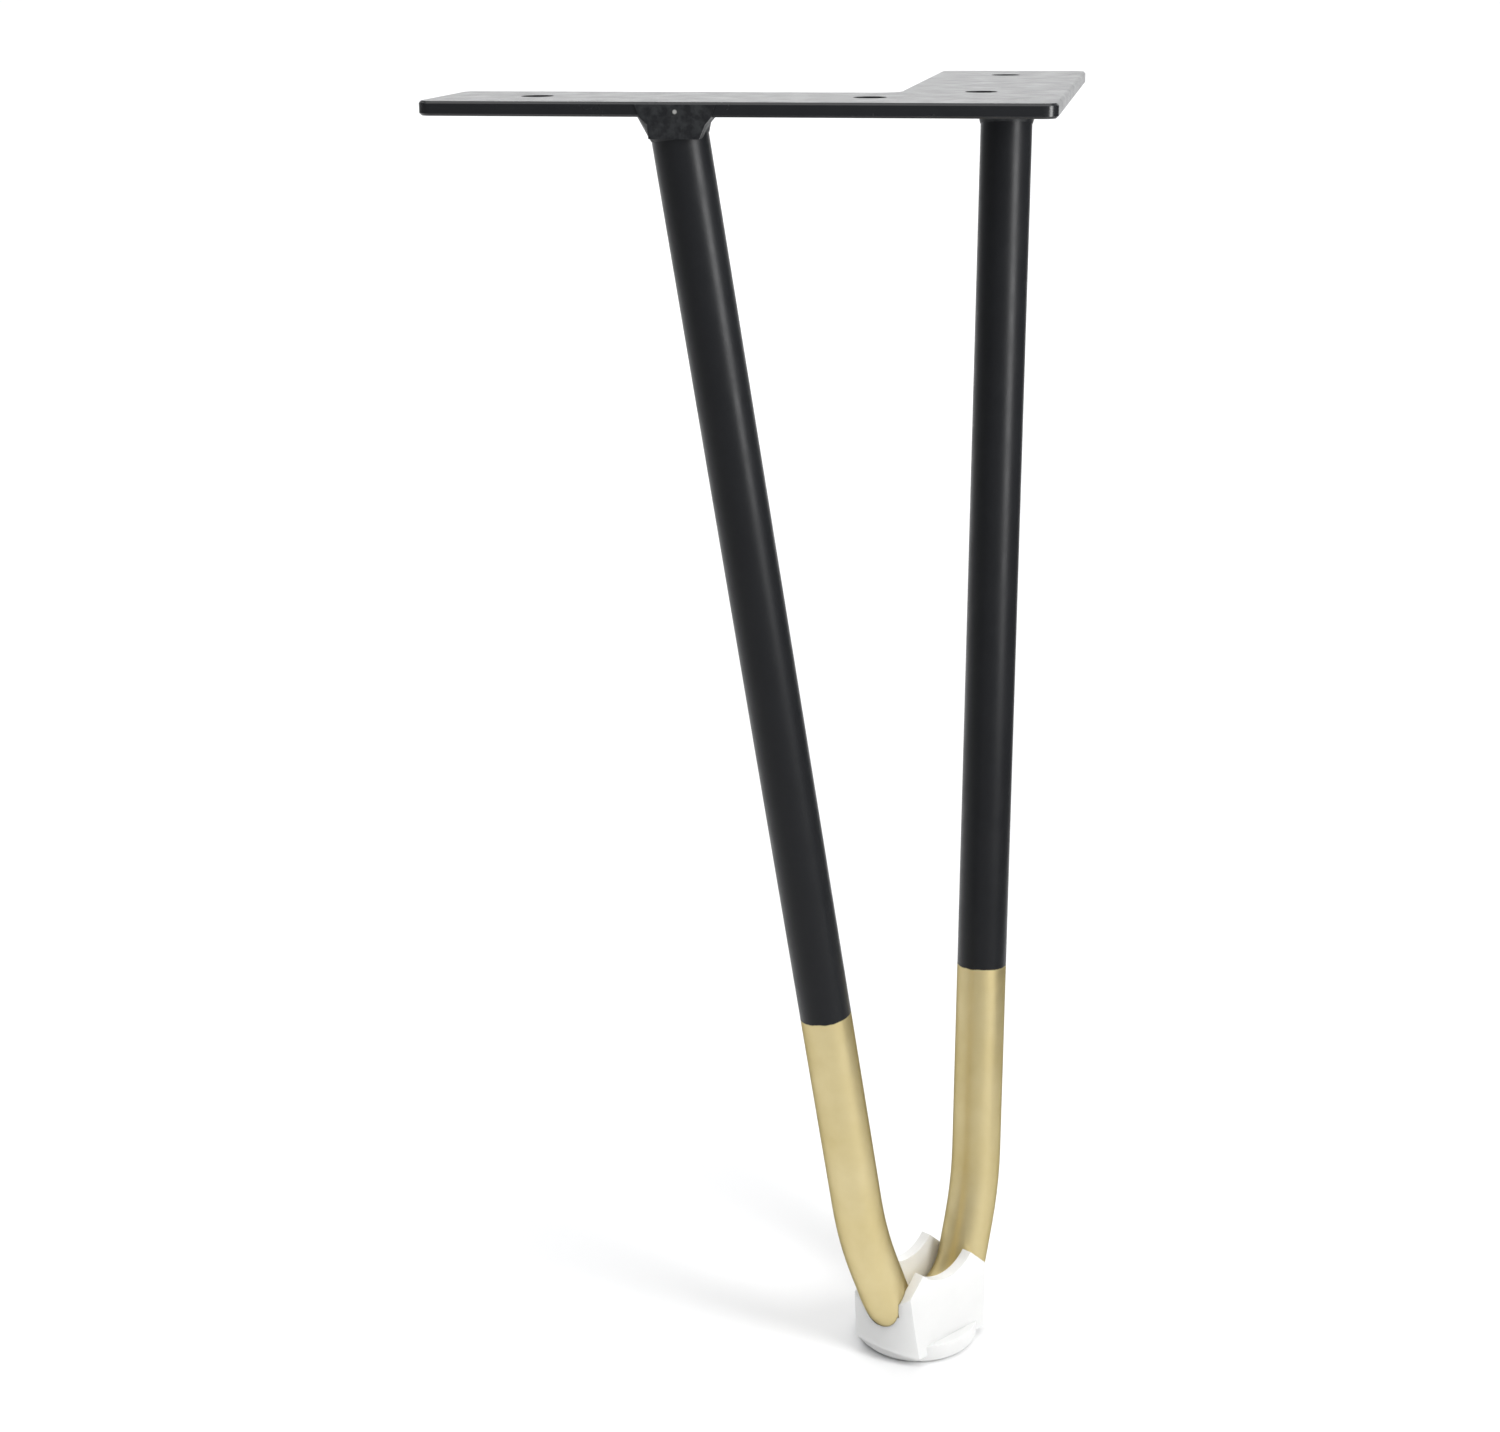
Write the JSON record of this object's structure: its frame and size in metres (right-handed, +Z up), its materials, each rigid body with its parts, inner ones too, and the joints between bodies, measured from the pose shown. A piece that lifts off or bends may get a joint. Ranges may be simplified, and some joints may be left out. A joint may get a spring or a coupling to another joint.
{
  "type": "hairpin furniture leg",
  "caption": "Short welded hairpin furniture leg: a V-bent round steel rod under an L-shaped screw plate, black coated with a gold foot and a clip-on plastic floor protector.",
  "frame": {"origin": "on the plate's top face, where the two lines of screw holes cross", "axes": "+Z up towards the furniture, the front arm of the plate along -X and the side arm along +Y"},
  "size_m": [0.11, 0.1102, 0.2495],
  "materials": {
    "black_coat": "satin black powder coat on steel, with a satin gold finish on the foot of the rod",
    "white_plastic": "soft translucent white plastic"
  },
  "bodies": {
    "root": {"mounting_plate": "black_coat", "hairpin_rod": "black_coat", "front_weld_bead": "black_coat", "rear_weld_bead": "black_coat", "floor_protector": "white_plastic"}
  },
  "joints": []
}
